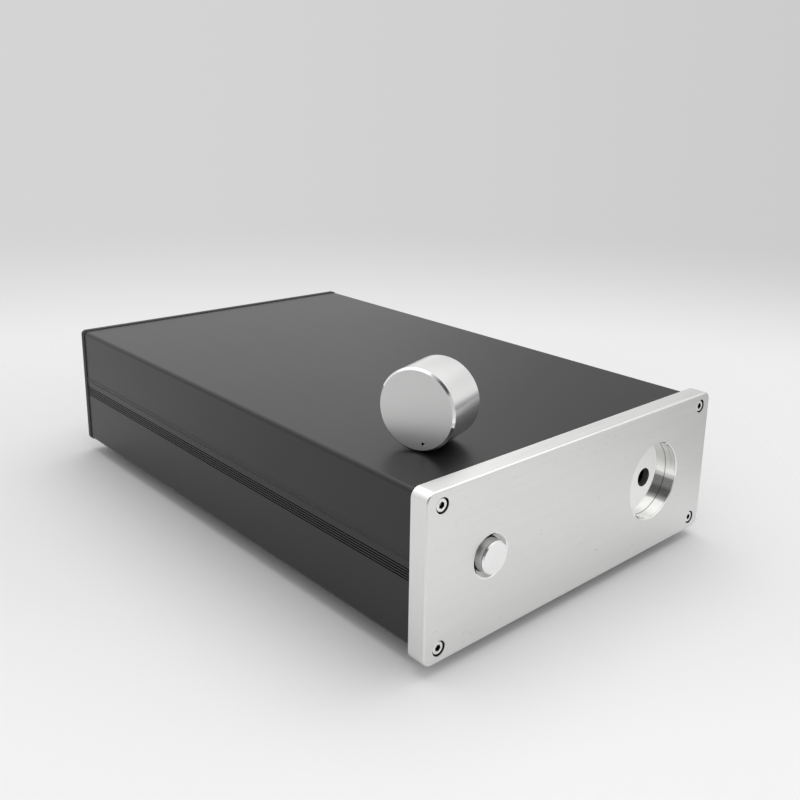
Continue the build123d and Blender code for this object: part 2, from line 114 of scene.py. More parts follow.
# Roughness of the small pieces
ROUGHNESS = {
    "front screws": 0.22,
    "rear screws": 0.38,
    "foot rubber": 0.62,
    "foot fixings": 0.34,
    "bracket": 0.32,
    "switch housing": 0.45,
    "plunger": 0.38,
    "tabs": 0.30,
    "spring": 0.22,
    "set screw": 0.35,
}

# Sides of the turned meshes, and of the floor's disc
CAP_SIDES = 144
PAN_SIDES = 96
DOME_SIDES = 72
NUT_SIDES = 72
THREAD_SIDES = 24
WIRE_SIDES = 12
FLOOR_SIDES = 96

# The lamp's place, and the camera's place, angles in degrees and shift
LAMP_PLACE = (0.18, 0.05, 1.15)
CAMERA_PLACE = (-0.29813, -0.36798, 0.21333)
CAMERA_ANGLES = (75.045, -1.588, -43.684)
CAMERA_SHIFT = (-0.0595, -0.0795)


def colour_property(name, description, default):
    return FloatVectorProperty(
        name=name, description=description, default=default, size=3, min=0.0, max=1.0, subtype="COLOR"
    )


def length_property(name, description, default):
    return FloatProperty(name=name, description=description, default=default, min=0.0, unit="LENGTH")


def share_property(name, description, default):
    return FloatProperty(
        name=name, description=description, default=default, min=0.0, max=1.0, subtype="FACTOR"
    )


class ChassisColours(bpy.types.PropertyGroup):
    """Colours of the chassis's finishes"""

    panel: colour_property("Panel", "Brushed face of the front panel", (0.80, 0.80, 0.79))
    recess: colour_property("Recess", "Turned metal inside the knob recess", (0.93, 0.93, 0.915))
    # Painted shade: the dark colour painted into the screw seats, the screw sockets and the knob's dot,
    # where shade falls
    bore: colour_property("Dark hollows", "Screw seats, sockets and the knob's dot", (0.02, 0.02, 0.02))
    # Painted highlight: the bright colour painted on the recess's broken edge
    rim: colour_property("Recess rim", "Bright broken edge round the recess", (0.98, 0.98, 0.97))
    turned: colour_property("Turned metal", "Push button and knob", (0.83, 0.83, 0.825))
    case: colour_property("Case", "Black anodised shells", (0.0065, 0.0065, 0.0075))
    head: colour_property("Screw heads", "Plated heads of the front screws", (0.86, 0.86, 0.85))
    rear: colour_property("Rear", "Black anodised rear panel", (0.006, 0.006, 0.0065))
    # Painted light: the paler colour painted on the rear panel's front-facing rim
    rear_rim_painted_light: colour_property("Rear rim", "Front rim of the rear panel", (0.085, 0.085, 0.087))
    steel: colour_property("Steel", "Spring's wire", (0.66, 0.66, 0.65))
    black_steel: colour_property("Black steel", "Rear screws and the knob's set screw", (0.05, 0.05, 0.05))
    zinc: colour_property("Zinc", "Plated bracket, frame, nuts and inner screws", (0.58, 0.59, 0.62))
    rubber: colour_property("Rubber", "Feet", (0.022, 0.022, 0.022))
    plastic: colour_property("Plastic", "Switch housing", (0.03, 0.03, 0.032))
    plunger: colour_property("Plunger", "Switch plunger", (0.74, 0.73, 0.69))
    tabs: colour_property("Tabs", "Tinned solder tabs", (0.70, 0.66, 0.55))


class ChassisGrain(bpy.types.PropertyGroup):
    """Grain of the finishes"""

    brush_length: length_property("Brush length", "Length of the panel's brush lines", 0.022)
    brush_width: length_property("Brush width", "Width of the panel's brush lines", 0.0003)
    turning_pitch: length_property("Turning pitch", "Distance between tool marks on turned metal", 0.00025)
    recess_depth: length_property("Recess depth", "Depth of the corner inside the recess", 5.8 * MM)
    blast_size: length_property("Blast size", "Size of the case's blasted grain", 0.0003)
    draw_width: length_property("Draw width", "Width of the case's extrusion lines", 0.0009)
    panel_roughness: share_property("Panel roughness", "Roughness of the brushed face", 0.36)
    recess_roughness: share_property("Recess roughness", "Roughness of the turned recess", 0.07)
    face_roughness: share_property("Knob face roughness", "Roughness of the knob's blasted face", 0.42)
    button_roughness: share_property("Button roughness", "Roughness of the push button's face", 0.14)
    knob_roughness: share_property("Knob side roughness", "Roughness of the knob's side", 0.25)
    case_roughness: share_property("Case roughness", "Roughness of the anodised shells", 0.33)
    rear_roughness: share_property("Rear roughness", "Roughness of the rear panel", 0.52)
    foot_grain: length_property("Foot grain", "Size of the moulded grain of the feet", 0.4 * MM)
    switch_grain: length_property("Switch grain", "Size of the moulded grain of the switch", 0.3 * MM)


class ChassisFasteners(bpy.types.PropertyGroup):
    """Sizes of the screws, the nuts and the spring"""

    thread_radius: length_property("Thread radius", "Outer radius of every thread", 1.45 * MM)
    thread_pitch: length_property("Thread pitch", "Rise of the thread in one turn", 0.5 * MM)
    thread_depth: length_property("Thread depth", "Depth of the thread", 0.27 * MM)
    head_radius: length_property("Cap head radius", "Radius of the front screws' heads", HEAD_RADIUS)
    head_height: length_property("Cap head height", "Height of the front screws' heads", 3.0 * MM)
    socket_across: length_property("Socket", "Width across the hexagon of the front screws", 2.5 * MM)
    socket_depth: length_property("Socket depth", "Depth of the front screws' hexagon", 1.5 * MM)
    knurl_count: IntProperty(name="Knurls", description="Teeth round a cap head", default=36, min=6)
    knurl_depth: length_property("Knurl depth", "Depth of the teeth round a cap head", 0.09 * MM)
    dome_radius: length_property("Dome radius", "Radius of the rear screws' heads", 2.7 * MM)
    dome_height: length_property("Dome height", "Height of the rear screws' heads", 1.7 * MM)
    dome_socket: length_property("Dome socket", "Width across the hexagon of the rear screws", 2.0 * MM)
    pan_radius: length_property("Pan radius", "Radius of the inner screws' heads", 2.7 * MM)
    pan_height: length_property("Pan height", "Height of the inner screws' heads", 1.8 * MM)
    nut_across: length_property("Nut", "Width across the flats of a nut", 5.5 * MM)
    wire_radius: length_property("Spring wire", "Radius of the spring's wire", 0.35 * MM)
    coil_turns: FloatProperty(name="Turns", description="Turns of the spring", default=5.0, min=2.0)


class ChassisStudio(bpy.types.PropertyGroup):
    """Floor, background, lamp and camera"""

    floor_colour: colour_property("Floor", "Colour of the floor", (0.885, 0.88, 0.885))
    floor_reach: length_property("Floor reach", "Distance at which the floor has faded out", 0.44)
    floor_fade: length_property("Floor fade", "Distance at which the floor starts to fade", 0.25)
    key_power: FloatProperty(
        name="Key lamp", description="Power of the lamp above", default=7.2, min=0, unit="POWER"
    )
    key_size: length_property("Key size", "Width of the lamp above", 1.3)
    fill_strength: FloatProperty(
        name="Fill", description="Strength of the light from all round", default=0.70, min=0
    )
    lens: FloatProperty(name="Lens", description="Focal length in millimetres", default=42.0, min=1)


def settings(context):
    scene = context.scene
    return scene.chassis_colours, scene.chassis_grain, scene.chassis_fasteners, scene.chassis_studio


class Value:
    """One shader socket. Arithmetic on it adds the Math nodes."""

    def __init__(self, nodes, socket):
        self.nodes = nodes
        self.socket = socket

    def math(self, operation, *values):
        return self.nodes.add("Math", {"operation": operation}, dict(enumerate(values)))

    def __add__(self, other):
        return self.math("ADD", self, other)

    def __radd__(self, other):
        return self.math("ADD", other, self)

    def __sub__(self, other):
        return self.math("SUBTRACT", self, other)

    def __rsub__(self, other):
        return self.math("SUBTRACT", other, self)

    def __mul__(self, other):
        return self.math("MULTIPLY", self, other)

    def __rmul__(self, other):
        return self.math("MULTIPLY", other, self)

    def __truediv__(self, other):
        return self.math("DIVIDE", self, other)

    def __pow__(self, other):
        return self.math("POWER", self, other)

    def __gt__(self, other):
        return self.math("GREATER_THAN", self, other)

    def __lt__(self, other):
        return self.math("LESS_THAN", self, other)

    def __abs__(self):
        return self.math("ABSOLUTE", self)

    def fade(self, low, high):
        """0 below low, 1 above high, smooth between."""
        inputs = {"Value": self, "From Min": low, "From Max": high}
        return self.nodes.add("MapRange", {"interpolation_type": "SMOOTHSTEP"}, inputs)

    def above(self, limit, blur):
        """1 above a limit and 0 below it, smooth within the blur."""
        return self.fade(limit - blur, limit + blur)

    def below(self, limit, blur):
        """1 below a limit and 0 above it, smooth within the blur."""
        return 1 - self.above(limit, blur)

    def near(self, middle, reach, blur):
        """1 within a reach of a value and 0 past it, smooth within the blur."""
        return abs(self - middle).below(reach, blur)

    def larger(self, other):
        return self.math("MAXIMUM", self, other)

    def parts(self):
        """The three numbers of a vector."""
        split = self.nodes.add("SeparateXYZ", {}, {"Vector": self})
        return [Value(self.nodes, output) for output in split.socket.node.outputs]


class Nodes:
    """The nodes of one material or of the world, filled from empty."""

    def __init__(self, owner):
        owner.use_nodes = True
        self.tree = owner.node_tree
        self.tree.nodes.clear()

    def add(self, kind, settings, inputs, output=0):
        """Adds a node: its settings first, then the numbers or links of its sockets."""
        node = self.tree.nodes.new("ShaderNode" + kind)
        for name, value in settings.items():
            setattr(node, name, value)
        for name, value in inputs.items():
            if isinstance(value, Value):
                self.tree.links.new(value.socket, node.inputs[name])
            else:
                node.inputs[name].default_value = value
        return Value(self, node.outputs[output] if len(node.outputs) else None)

    def coordinates(self, name="Object"):
        return self.add("TexCoord", {}, {}, output=name)

    def scaled(self, vector, x, y, z):
        return self.add("VectorMath", {"operation": "MULTIPLY"}, {0: vector, 1: (x, y, z)})

    def moved(self, vector, middle):
        return self.add("VectorMath", {"operation": "SUBTRACT"}, {0: vector, 1: tuple(middle)})

    def dot(self, vector, axis):
        inputs = {0: vector, 1: tuple(axis)}
        return self.add("VectorMath", {"operation": "DOT_PRODUCT"}, inputs, output="Value")

    def length(self, vector):
        return self.add("VectorMath", {"operation": "LENGTH"}, {0: vector}, output="Value")

    def grey(self, level):
        return self.add("CombineXYZ", {}, {0: level, 1: level, 2: level})

    def noise(self, vector, scale=1.0, detail=2.0, roughness=0.5):
        """Noise about zero, its scale in lumps a metre."""
        inputs = {"Vector": vector, "Scale": scale, "Detail": detail, "Roughness": roughness}
        return self.add("TexNoise", {}, inputs, output=0) - 0.5

    def blend(self, share, first, second):
        """Colour between two, by a share."""
        mix = {"data_type": "RGBA"}
        return self.add("Mix", mix, {0: share, 6: first, 7: second}, output=2)

    def tinted(self, colour, factor):
        """A colour made lighter or darker by a factor about 1."""
        mix = {"data_type": "RGBA", "blend_type": "MULTIPLY"}
        return self.add("Mix", mix, {0: 1.0, 6: colour, 7: self.grey(factor)}, output=2)

    def bump(self, height, distance):
        return self.add("Bump", {}, {"Height": height, "Distance": distance, "Strength": 1.0})

    def finish(self, **inputs):
        surface = self.add("BsdfPrincipled", {}, {name.replace("_", " "): v for name, v in inputs.items()})
        self.add("OutputMaterial", {}, {"Surface": surface})


def opaque(colour):
    return (*colour, 1.0)


def material(name, make, *values):
    """A material whose nodes one function makes."""
    made = bpy.data.materials.new(name)
    make(Nodes(made), *values)
    return made


def dress(node, finish):
    """Gives one CAD node a finish."""
    slots = frame["nodes"][node].data.materials
    slots.clear()
    slots.append(finish)


def around(nodes, position, middle, axis):
    """Distance along a turned piece's axis and distance from it."""
    offset = nodes.moved(position, middle)
    along = nodes.dot(offset, axis)
    tiny = MICRON ** 2
    return along, (nodes.length(offset) ** 2 - along ** 2 + tiny) ** 0.5


def from_corners(nodes, position, middle, spread):
    """Distance from the nearest of four screw axes, which run from front to rear."""
    side, _, height = nodes.moved(position, middle).parts()
    across = abs(abs(side) - spread[0])
    up = abs(abs(height) - spread[1])
    return (across ** 2 + up ** 2) ** 0.5


def tool_marks(nodes, along, radius, pitch):
    """Fine uneven lines round a turned piece, about zero."""
    where = nodes.add("CombineXYZ", {}, {0: along / pitch, 1: radius / pitch, 2: 0.0})
    return nodes.noise(where, detail=3.0, roughness=0.6)


def brushed_panel(nodes, colours, grain):
    """Front panel: brushed along its length, with a bright turned recess and countersink."""
    position = nodes.coordinates()
    _, depth, height = position.parts()
    inward = depth - PANEL_LOW.y
    along, radius = around(nodes, position, RECESS_MIDDLE, REARWARD)
    _, button_radius = around(nodes, position, BUTTON_MIDDLE, REARWARD)
    in_recess = radius.below(RECESS_EDGE, 0.1 * MM) * (inward < grain.recess_depth + 0.2 * MM)
    in_countersink = button_radius.below(COUNTERSINK_EDGE, 0.1 * MM) * (inward < PANEL_THICKNESS - 0.2 * MM)
    turned = in_recess.larger(in_countersink)
    flat = 1 - turned

    # Brush lines, broader streaks, a soft cloud, a few scratches and the tool's marks
    long = 1 / grain.brush_length
    fine = 1 / grain.brush_width
    brush = nodes.noise(nodes.scaled(position, long, fine, fine), detail=3.0, roughness=0.55)
    broad = nodes.noise(nodes.scaled(position, long / 3, fine / 9, fine / 9))
    cloud = nodes.noise(position, scale=14.0)
    scratch = nodes.noise(nodes.scaled(position, 260.0, 1800.0, 1800.0), detail=1.0).fade(0.25, 0.29)
    marks = tool_marks(nodes, along, radius, grain.turning_pitch)
    flat_tone = brush * 0.08 + broad * 0.05 + cloud * 0.03 - scratch * 0.25
    tone = 1 + flat_tone * flat + marks * 0.05 * turned
    colour = nodes.tinted(nodes.blend(turned, opaque(colours.panel), opaque(colours.recess)), tone)

    # The recess: painted shade as a dark line in its corner and on its upper wall, a darker line round the
    # wall near the lip, and a painted highlight on its rim
    # Painted shade: the corner line and the upper wall are darkened where shade falls
    corner = inward.above(grain.recess_depth - 0.3 * MM, 0.1 * MM)
    corner = corner * in_recess * radius.above(RECESS_CORNER, 0.05 * MM)
    wall = radius.above(RECESS_WALL, 0.025 * MM) * in_recess
    upper = (height - RECESS_MIDDLE.z).above(2.0 * MM, 3.0 * MM) * (inward > 0.45 * MM)
    lip = inward.near(0.62 * MM, 0.14 * MM, 0.04 * MM)
    # Painted highlight: the recess's broken edge is coloured near white
    rim = inward.below(0.41 * MM, 0.03 * MM) * in_recess
    shade = (1 - corner * 0.40) * (1 - wall * upper * 0.22) * (1 - wall * lip * 0.25)
    colour = nodes.blend(rim, nodes.tinted(colour, shade), opaque(colours.rim))

    # Painted shade in the screw seats: the gaps round the heads are coloured dark where shade falls
    seat = from_corners(nodes, position, SCREW_MIDDLE, SCREW_SPREAD).below(SEAT_EDGE, 0.1 * MM)
    seat = seat * (inward > 0.25 * MM)
    colour = nodes.blend(seat, colour, opaque(colours.bore))

    flat_roughness = grain.panel_roughness + brush * 0.10 + broad * 0.05
    turned_roughness = grain.recess_roughness + marks * 0.05
    edgewise = 1 - abs(nodes.dot(nodes.coordinates("Normal"), REARWARD))
    roughness = flat_roughness * flat + turned_roughness * turned + edgewise * 0.02 + seat * 0.3
    nodes.finish(
        Base_Color=colour,
        Metallic=1.0,
        Roughness=roughness,
        Normal=nodes.bump(brush * flat + marks * turned * 0.25, 6 * MICRON),
    )


def turned_button(nodes, colours, grain):
    """Clear anodised button: fine turned face, polished chamfer with a dark line painted at its edge as
    painted shade, and a satin side darkened by painted shade.
    """
    position = nodes.coordinates()
    along, radius = around(nodes, position, BUTTON_FACE, REARWARD)
    marks = tool_marks(nodes, along, radius, grain.turning_pitch)
    cloud = nodes.noise(position, scale=90.0)
    face = along.below(0.025 * MM, 0.015 * MM)
    side = along.above(0.55 * MM, 0.03 * MM)
    edge = along.near(0.72 * MM, 0.18 * MM, 0.06 * MM)
    # Painted shade: the side is darkened and a dark line is painted round the chamfer's edge
    tone = (1.12 + marks * 0.06 + cloud * 0.03 - face * 0.01) * (1 - side * 0.36) * (1 - edge * 0.6)
    nodes.finish(
        Base_Color=nodes.tinted(opaque(colours.turned), tone),
        Metallic=1.0,
        Roughness=grain.button_roughness + marks * 0.08 + side * 0.16,
        Normal=nodes.bump(marks, 4 * MICRON),
    )


def turned_knob(nodes, colours, grain):
    """Clear anodised knob: blasted face, satin side, polished chamfer and a dot whose drilled hole is
    painted dark as painted shade.
    """
    position = nodes.coordinates()
    along, radius = around(nodes, position, KNOB_FACE, KNOB_AXIS)
    behind_face = abs(along)
    marks = tool_marks(nodes, along, radius, grain.turning_pitch)
    cloud = nodes.noise(position, scale=90.0)
    blast = nodes.noise(position, scale=1 / grain.blast_size, roughness=0.6)
    face = behind_face.below(0.04 * MM, 0.02 * MM) * radius.below(KNOB_RADIUS - 0.95 * MM, 0.05 * MM)
    chamfer = behind_face.above(0.04 * MM, 0.02 * MM) * behind_face.below(0.88 * MM, 0.02 * MM)
    side = 1 - face
    tone = 1.12 - face * 0.27 + marks * 0.07 * side + cloud * 0.03 + blast * 0.04 * face
    colour = nodes.tinted(opaque(colours.turned), tone)

    # Painted shade fills the dot's hole, all but its lower wall, which keeps the knob's colour where the
    # glint shows
    _, dot_radius = around(nodes, position, KNOB_DOT, KNOB_AXIS)
    _, _, above_dot = nodes.moved(position, KNOB_DOT).parts()
    dot = dot_radius.below(0.83 * MM, 0.03 * MM) * behind_face.above(0.06 * MM, 0.04 * MM)
    dot = dot * above_dot.above(-0.55 * MM, 0.05 * MM)

    rough = grain.face_roughness * face + grain.knob_roughness * side + marks * 0.08 * side
    nodes.finish(
        Base_Color=nodes.blend(dot, colour, opaque(colours.bore)),
        Metallic=1.0,
        Roughness=rough * (1 - chamfer * 0.85) + dot * 0.2,
        Normal=nodes.bump(marks * side * (1 - chamfer) + blast * face, 5 * MICRON),
    )


def anodised_case(nodes, colour, roughness, grain):
    """Black anodised extrusion: blasted grain over faint lines along its length."""
    position = nodes.coordinates()
    across = 1 / grain.draw_width
    lines = nodes.noise(nodes.scaled(position, across, 3.0, across), detail=3.0, roughness=0.6)
    blast = nodes.noise(position, scale=1 / grain.blast_size, roughness=0.6)
    cloud = nodes.noise(position, scale=9.0, detail=3.0)
    nodes.finish(
        Base_Color=nodes.tinted(colour, 1 + lines * 0.25 + blast * 0.3 + cloud * 0.3),
        Roughness=roughness + blast * 0.08 + lines * 0.06 + cloud * 0.05,
        IOR=1.46,
        Normal=nodes.bump(blast * 0.6 + lines * 0.5, 12 * MICRON),
    )


def anodised_rear(nodes, colours, grain):
    """Black anodised plate, matt all round; its front-facing rim, where it stands proud of the shells, is
    made paler as painted light.
    """
    # Painted light: faces turned to the front get a paler colour
    rim = nodes.dot(nodes.coordinates("Normal"), -REARWARD).above(0.75, 0.15)
    colour = nodes.blend(rim, opaque(colours.rear), opaque(colours.rear_rim_painted_light))
    anodised_case(nodes, colour, grain.rear_roughness, grain)


def plain_metal(nodes, colour, roughness):
    """Plain metal with small stains and fine scratches."""
    position = nodes.coordinates()
    grain = nodes.noise(position, scale=2500.0)
    stain = nodes.noise(position, scale=400.0, detail=3.0)
    nodes.finish(
        Base_Color=nodes.tinted(opaque(colour), 1 + grain * 0.12 + stain * 0.12),
        Metallic=1.0,
        Roughness=roughness + grain * 0.1 + stain * 0.12,
        Normal=nodes.bump(grain, 6 * MICRON),
    )


def socket_head(nodes, colour, roughness, inside):
    """Plain bright metal with painted shade: dark in the hexagon socket, a little lighter at its bottom, and
    dark on the head's flank.
    """
    position = nodes.coordinates()
    grain = nodes.noise(position, scale=2500.0)
    _, depth, _ = position.parts()
    away = from_corners(nodes, position, SCREW_MIDDLE, SCREW_SPREAD)
    inward = depth - SCREW_LOW.y
    # Painted shade in the socket and on the flank round the head, lighter at the socket's bottom
    socket = away.below(1.50 * MM, 0.04 * MM) * inward.fade(0.03 * MM, 0.20 * MM)
    bottom = inward.above(1.45 * MM, 0.03 * MM) * away.below(1.05 * MM, 0.05 * MM)
    flank_shade = away.fade(HEAD_RADIUS - 0.20 * MM, HEAD_RADIUS - 0.05 * MM)
    head_shade = (socket - bottom * 0.5).larger(flank_shade)
    nodes.finish(
        Base_Color=nodes.tinted(nodes.blend(head_shade, opaque(colour), opaque(inside)), 1 + grain * 0.15),
        Metallic=1.0,
        Roughness=roughness + grain * 0.12 + head_shade * 0.2,
        Normal=nodes.bump(grain, 6 * MICRON),
    )


def moulded(nodes, colour, roughness, grain_size):
    """Rubber or plastic from a mould, with a fine matt grain."""
    position = nodes.coordinates()
    grain = nodes.noise(position, scale=1 / grain_size, roughness=0.6)
    cloud = nodes.noise(position, scale=120.0)
    nodes.finish(
        Base_Color=nodes.tinted(opaque(colour), 1 + grain * 0.2 + cloud * 0.2),
        Roughness=roughness + grain * 0.1,
        Normal=nodes.bump(grain, 30 * MICRON),
    )


def round_rule(radius):
    return lambda angle: radius


def hexagon_rule(across, limit=1.0):
    """Distance to a hexagon's side at an angle, no further than the limit."""
    sixth = pi / 3
    return lambda angle: min(across / 2 / cos((angle + sixth / 2) % sixth - sixth / 2), limit)


def knurl_rule(radius, count, depth):
    return lambda angle: radius - depth * (0.5 + 0.5 * cos(count * angle)) ** 2


def cross_rule(reach, width):
    """Distance to the side of a cross recess at an angle."""
    quarter = pi / 2

    def rule(angle):
        turn = (angle + quarter / 2) % quarter - quarter / 2
        arm = min(reach, width / 2 / max(abs(sin(turn)), MICRON))
        return max(arm, width / sqrt(2) * 0.98)

    return rule


def thread_rule(radius, depth, pitch, height):
    """A thread's radius at one height: the crest climbs one pitch in a turn."""

    def rule(angle):
        turn = height / pitch - angle / (2 * pi)
        return radius - depth * (1 - abs(2 * (turn - floor(turn)) - 1))

    return rule


def skin_rings(mesh, rings, loop=False):
    """Joins rings of vertices in a row and closes both ends, or the row into a loop."""
    pairs = list(zip(rings, rings[1:]))
    if loop:
        pairs.append((rings[-1], rings[0]))
    else:
        mesh.faces.new(list(reversed(rings[0])))
        mesh.faces.new(rings[-1])
    for lower, upper in pairs:
        for step in range(len(lower)):
            after = (step + 1) % len(lower)
            mesh.faces.new((lower[step], lower[after], upper[after], upper[step]))


def turn_solid(mesh, stations, sides, place, loop=False):
    """Adds a turned solid to a mesh: each station is a radius rule and a height on local Z."""
    rings = []
    for rule, height in stations:
        ring = []
        for step in range(sides):
            angle = 2 * pi * step / sides
            radius = rule(angle)
            point = Vector((radius * cos(angle), radius * sin(angle), height))
            ring.append(mesh.verts.new(place @ point))
        rings.append(ring)
    skin_rings(mesh, rings, loop)


def dome_stations(radius, inset, foot, top, first, steps):
    """Stations of a head's rounded side, from its foot towards its top."""
    stations = []
    for step in range(first, steps):
        angle = pi / 2 * step / steps
        reach = radius - inset * (1 - cos(angle))
        stations.append((round_rule(reach), foot + (top - foot) * sin(angle)))
    return stations


def add_thread(mesh, sizes, length, place):
    """Threaded shank down from local zero, with a chamfered tip."""
    steps_a_turn = 5
    tip_share = 0.75
    step = sizes.thread_pitch / steps_a_turn
    count = int((length - sizes.thread_pitch) / step)
    root = sizes.thread_radius - sizes.thread_depth
    stations = [
        (round_rule(root * tip_share), -length),
        (round_rule(root), -length + sizes.thread_pitch / 2),
    ]
    for index in range(count):
        height = -length + sizes.thread_pitch + index * step
        rule = thread_rule(sizes.thread_radius, sizes.thread_depth, sizes.thread_pitch, height)
        stations.append((rule, height))
    stations += [(round_rule(root), -step / 2), (round_rule(root), step)]
    turn_solid(mesh, stations, THREAD_SIDES, place)


def add_cap_screw(mesh, sizes, length, place):
    """Hex-socket cap screw: knurled head above local zero, shank below it."""
    top = sizes.head_height
    radius = sizes.head_radius
    tooth = knurl_rule(radius, sizes.knurl_count, sizes.knurl_depth)
    socket = hexagon_rule(sizes.socket_across)
    mouth = sizes.socket_across * 0.61
    bottom = top - sizes.socket_depth
    drill_point = 0.05 * MM
    stations = [
        (round_rule(radius - 0.25 * MM), 0.0),
        (round_rule(radius - sizes.knurl_depth), 0.12 * MM),
        (tooth, 0.3 * MM),
        (tooth, top - 0.55 * MM),
        (round_rule(radius - sizes.knurl_depth), top - 0.4 * MM),
        (round_rule(radius - 0.12 * MM), top - 0.22 * MM),
        (round_rule(radius - 0.22 * MM), top - 0.1 * MM),
        (round_rule(radius - 0.38 * MM), top - 0.02 * MM),
        (round_rule(radius - 0.55 * MM), top),
        (round_rule(mouth), top),
        (hexagon_rule(sizes.socket_across, sizes.socket_across * 0.585), top - 0.08 * MM),
        (socket, top - 0.16 * MM),
        (socket, bottom),
        (round_rule(sizes.socket_across * 0.4), bottom - 0.05 * MM),
        (round_rule(drill_point), bottom - 0.6 * MM),
    ]
    turn_solid(mesh, stations, CAP_SIDES, place)
    add_thread(mesh, sizes, length, place)


def add_dome_screw(mesh, sizes, length, place):
    """Button-head screw with a hexagon socket."""
    top = sizes.dome_height
    radius = sizes.dome_radius
    socket = hexagon_rule(sizes.dome_socket)
    mouth = sizes.dome_socket * 0.62
    foot = 0.35 * MM
    drill_point = 0.05 * MM
    stations = [
        (round_rule(radius - 0.1 * MM), 0.0),
        (round_rule(radius), 0.1 * MM),
        (round_rule(radius), foot),
        *dome_stations(radius, 1.3 * MM, foot, top, first=1, steps=9),
        (round_rule(mouth), top),
        (socket, top - 0.12 * MM),
        (socket, top - 1.1 * MM),
        (round_rule(drill_point), top - 1.45 * MM),
    ]
    turn_solid(mesh, stations, DOME_SIDES, place)
    add_thread(mesh, sizes, length, place)


def add_pan_screw(mesh, sizes, length, place):
    """Cross-recessed pan-head screw."""
    top = sizes.pan_height
    radius = sizes.pan_radius
    foot = 0.6 * MM
    drill_point = 0.05 * MM
    stations = [
        (round_rule(radius - 0.08 * MM), 0.0),
        (round_rule(radius), 0.08 * MM),
        *dome_stations(radius, 0.9 * MM, foot, top, first=0, steps=8),
        (round_rule(radius - 0.95 * MM), top),
        (cross_rule(1.45 * MM, 0.62 * MM), top - 0.02 * MM),
        (cross_rule(0.9 * MM, 0.5 * MM), top - 0.8 * MM),
        (round_rule(drill_point), top - 1.1 * MM),
    ]
    turn_solid(mesh, stations, PAN_SIDES, place)
    add_thread(mesh, sizes, length, place)


def add_nut(mesh, sizes, height, place):
    """Hexagon nut, chamfered on both faces, round its screw's thread."""
    bore = round_rule(sizes.thread_radius + 0.03 * MM)
    mouth = round_rule(sizes.thread_radius + 0.25 * MM)
    body = hexagon_rule(sizes.nut_across)
    rim = hexagon_rule(sizes.nut_across, sizes.nut_across / 2 * 1.02)
    bore_chamfer = 0.22 * MM
    corner_chamfer = 0.28 * MM
    stations = [
        (bore, bore_chamfer),
        (mouth, 0.0),
        (rim, 0.0),
        (body, corner_chamfer),
        (body, height - corner_chamfer),
        (rim, height),
        (mouth, height),
        (bore, height - bore_chamfer),
    ]
    turn_solid(mesh, stations, NUT_SIDES, place, loop=True)


def add_coil(mesh, sizes, low, high):
    """Compression spring along Y that fills a box, its end turns wound close."""
    wire = sizes.wire_radius
    reach = (high.z - low.z) / 2 - wire
    middle = (low + high) / 2
    rise = high.y - low.y - 2 * wire
    steps_a_turn = 40
    close_turns = 0.8
    close_pitch = 2.05 * wire
    open_turns = sizes.coil_turns - 2 * close_turns
    open_pitch = (rise - 2 * close_turns * close_pitch) / open_turns
    count = int(sizes.coil_turns * steps_a_turn)
    rings = []
    for step in range(count + 1):
        turn = sizes.coil_turns * step / count
        opened = min(max(turn - close_turns, 0.0), open_turns)
        height = close_pitch * turn + (open_pitch - close_pitch) * opened
        outward = Vector((cos(2 * pi * turn), 0, sin(2 * pi * turn)))
        centre = Vector((middle.x, low.y + wire + height, middle.z)) + outward * reach
        ring = []
        for corner in range(WIRE_SIDES):
            angle = 2 * pi * corner / WIRE_SIDES
            point = centre + outward * wire * cos(angle) + REARWARD * wire * sin(angle)
            ring.append(mesh.verts.new(point))
        rings.append(ring)
    skin_rings(mesh, rings)


def placed(point, out, turn):
    """Matrix that takes local Z to a direction, after a turn about it."""
    tilt = UPWARD.rotation_difference(out).to_matrix().to_4x4()
    return Matrix.Translation(point) @ tilt @ Matrix.Rotation(turn, 4, "Z")


def make_piece(name, mesh, finish, slot, *nodes):
    """Makes a piece of the chassis from a mesh, in place of CAD nodes."""
    sharp_from = radians(32)
    bmesh.ops.recalc_face_normals(mesh, faces=mesh.faces)
    data = bpy.data.meshes.new(name)
    mesh.to_mesh(data)
    mesh.free()
    data.shade_smooth()
    data.set_sharp_from_angle(angle=sharp_from)
    data.materials.append(finish)
    piece = bpy.data.objects.new(name, data)
    bpy.context.scene.collection.objects.link(piece)
    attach(piece, "chassis")
    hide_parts(*nodes)
    return piece


def head_middles(node, radius, axes):
    """Middles of a screw set's heads along two axes, from the set's box."""
    low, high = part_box(node)
    digits = 6
    rows = []
    for axis in axes:
        ends = {round(low[axis] + radius, digits), round(high[axis] - radius, digits)}
        rows.append(sorted(ends))
    return [(one, two) for one in rows[0] for two in rows[1]]


class CHASSIS_OT_front_panel(bpy.types.Operator):
    """Finish the brushed front panel and its turned recess"""

    bl_idname = "chassis.front_panel"
    bl_label = "Front Panel"

    def execute(self, context):
        colours, grain, _, _ = settings(context)
        dress("front_panel", material("brushed_panel", brushed_panel, colours, grain))
        return {"FINISHED"}


class CHASSIS_OT_case(bpy.types.Operator):
    """Finish the black shells and the rear panel"""

    bl_idname = "chassis.case"
    bl_label = "Case"

    def execute(self, context):
        colours, grain, _, _ = settings(context)
        finish = material("anodised_case", anodised_case, opaque(colours.case), grain.case_roughness, grain)
        dress("top_shell", finish)
        dress("bottom_shell", finish)
        dress("rear_panel", material("anodised_rear", anodised_rear, colours, grain))
        return {"FINISHED"}


